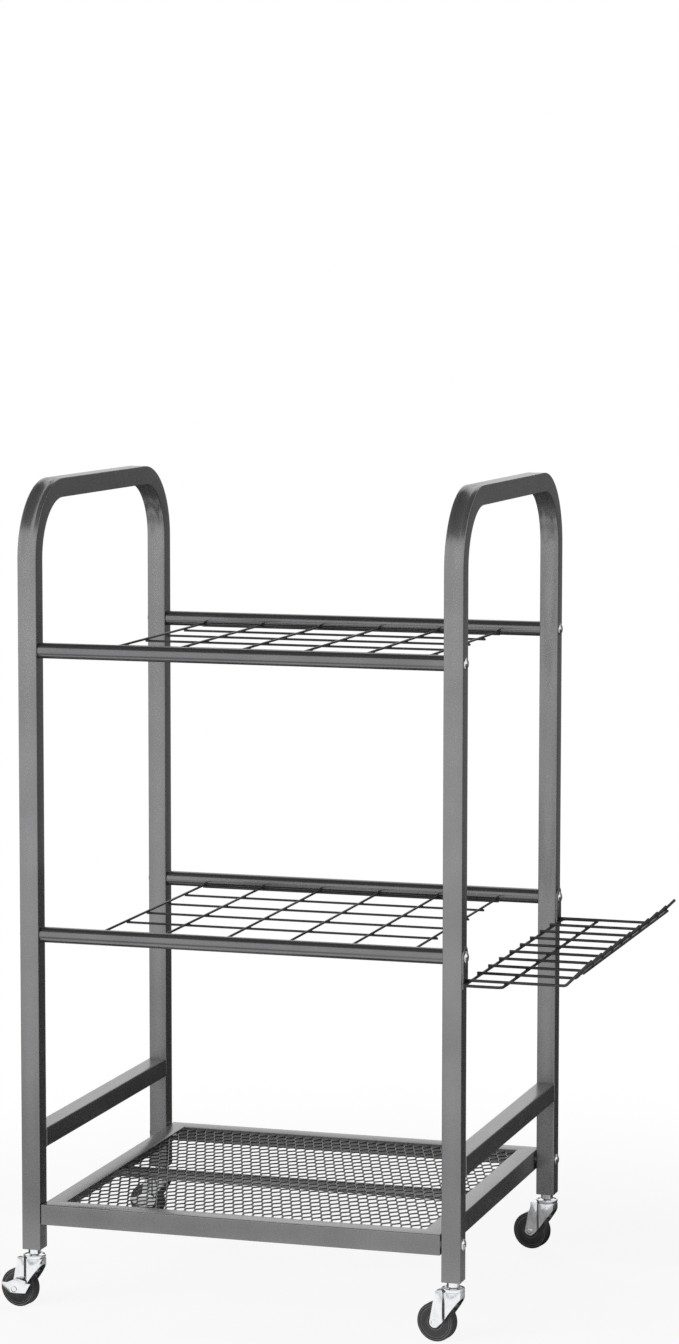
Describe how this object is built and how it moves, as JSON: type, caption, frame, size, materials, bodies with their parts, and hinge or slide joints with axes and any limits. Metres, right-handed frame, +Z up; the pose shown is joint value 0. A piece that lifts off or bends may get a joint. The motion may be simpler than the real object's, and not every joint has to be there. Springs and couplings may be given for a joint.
{
  "type": "rolling garden tool rack",
  "caption": "Freestanding rolling rack with square-tube side frames, wire grids that hold long tools upright, a mesh shelf and a wire side tray.",
  "frame": {"origin": "on the floor, under the middle of the overall outline", "axes": "+Z up, +X along the front towards the side tray, +Y from the front to the rear"},
  "size_m": [0.6262, 0.417, 0.855],
  "materials": {
    "frame_coat": "satin charcoal powder coat",
    "wire_coat": "satin charcoal powder coat on wire and mesh",
    "bright_zinc": "bright zinc plate",
    "black_plastic": "moulded plastic",
    "wheel_rubber": "moulded black wheel with turned rings"
  },
  "bodies": {
    "rack": {"left_frame_tube": "frame_coat", "right_frame_tube": "frame_coat", "left_side_rail": "frame_coat", "right_side_rail": "frame_coat", "upper_front_rod": "frame_coat", "upper_rear_rod": "frame_coat", "middle_front_rod": "frame_coat", "middle_rear_rod": "frame_coat", "rod_end_inserts": "bright_zinc", "upper_bolts": "bright_zinc", "middle_bolts": "bright_zinc", "upper_grid_long_wires": "wire_coat", "upper_grid_cross_wires": "wire_coat", "middle_grid_long_wires": "wire_coat", "middle_grid_cross_wires": "wire_coat", "shelf_front_rail": "frame_coat", "shelf_rear_rail": "frame_coat", "shelf_left_rail": "frame_coat", "shelf_right_rail": "frame_coat", "shelf_mesh": "wire_coat", "shelf_crossbar": "frame_coat", "shelf_bolts": "bright_zinc", "shelf_washers": "bright_zinc", "shelf_nuts": "bright_zinc", "tray_tabs": "frame_coat", "tray_ring": "wire_coat", "tray_wires": "wire_coat", "tray_lip_wire": "wire_coat", "post_end_plugs": "black_plastic", "front_left_stem": "bright_zinc", "front_right_stem": "bright_zinc", "rear_left_stem": "bright_zinc", "rear_right_stem": "bright_zinc"},
    "front_left_caster": {"front_left_head": "bright_zinc", "front_left_balls": "bright_zinc", "front_left_fork": "bright_zinc", "front_left_axle": "bright_zinc"},
    "front_left_roller": {"front_left_wheel": "wheel_rubber"},
    "front_left_brake": {"front_left_brake_lever": "bright_zinc"},
    "front_right_caster": {"front_right_head": "bright_zinc", "front_right_balls": "bright_zinc", "front_right_fork": "bright_zinc", "front_right_axle": "bright_zinc"},
    "front_right_roller": {"front_right_wheel": "wheel_rubber"},
    "rear_left_caster": {"rear_left_head": "bright_zinc", "rear_left_balls": "bright_zinc", "rear_left_fork": "bright_zinc", "rear_left_axle": "bright_zinc"},
    "rear_left_roller": {"rear_left_wheel": "wheel_rubber"},
    "rear_left_brake": {"rear_left_brake_lever": "bright_zinc"},
    "rear_right_caster": {"rear_right_head": "bright_zinc", "rear_right_balls": "bright_zinc", "rear_right_fork": "bright_zinc", "rear_right_axle": "bright_zinc"},
    "rear_right_roller": {"rear_right_wheel": "wheel_rubber"}
  },
  "joints": [
    {"name": "front_left_swivel", "type": "hinge", "parent": "rack", "child": "front_left_caster", "pos_m": [-0.27541, -0.194, 0.05], "axis": [0, 0, 1], "continuous": true},
    {"name": "front_left_roll", "type": "hinge", "parent": "front_left_caster", "child": "front_left_roller", "pos_m": [-0.29264, -0.19096, 0.02], "axis": [-0.1736, -0.9848, 0], "continuous": true},
    {"name": "front_left_brake_press", "type": "hinge", "parent": "front_left_caster", "child": "front_left_brake", "pos_m": [-0.29264, -0.19096, 0.02], "axis": [-0.1736, -0.9848, 0], "range_deg": [0, 10]},
    {"name": "front_right_swivel", "type": "hinge", "parent": "rack", "child": "front_right_caster", "pos_m": [0.17259, -0.194, 0.05], "axis": [0, 0, 1], "continuous": true},
    {"name": "front_right_roll", "type": "hinge", "parent": "front_right_caster", "child": "front_right_roller", "pos_m": [0.15536, -0.19096, 0.02], "axis": [-0.1736, -0.9848, 0], "continuous": true},
    {"name": "rear_left_swivel", "type": "hinge", "parent": "rack", "child": "rear_left_caster", "pos_m": [-0.27541, 0.194, 0.05], "axis": [0, 0, 1], "continuous": true},
    {"name": "rear_left_roll", "type": "hinge", "parent": "rear_left_caster", "child": "rear_left_roller", "pos_m": [-0.29264, 0.19704, 0.02], "axis": [-0.1736, -0.9848, 0], "continuous": true},
    {"name": "rear_left_brake_press", "type": "hinge", "parent": "rear_left_caster", "child": "rear_left_brake", "pos_m": [-0.29264, 0.19704, 0.02], "axis": [-0.1736, -0.9848, 0], "range_deg": [0, 10]},
    {"name": "rear_right_swivel", "type": "hinge", "parent": "rack", "child": "rear_right_caster", "pos_m": [0.17259, 0.194, 0.05], "axis": [0, 0, 1], "continuous": true},
    {"name": "rear_right_roll", "type": "hinge", "parent": "rear_right_caster", "child": "rear_right_roller", "pos_m": [0.15536, 0.19704, 0.02], "axis": [-0.1736, -0.9848, 0], "continuous": true}
  ]
}
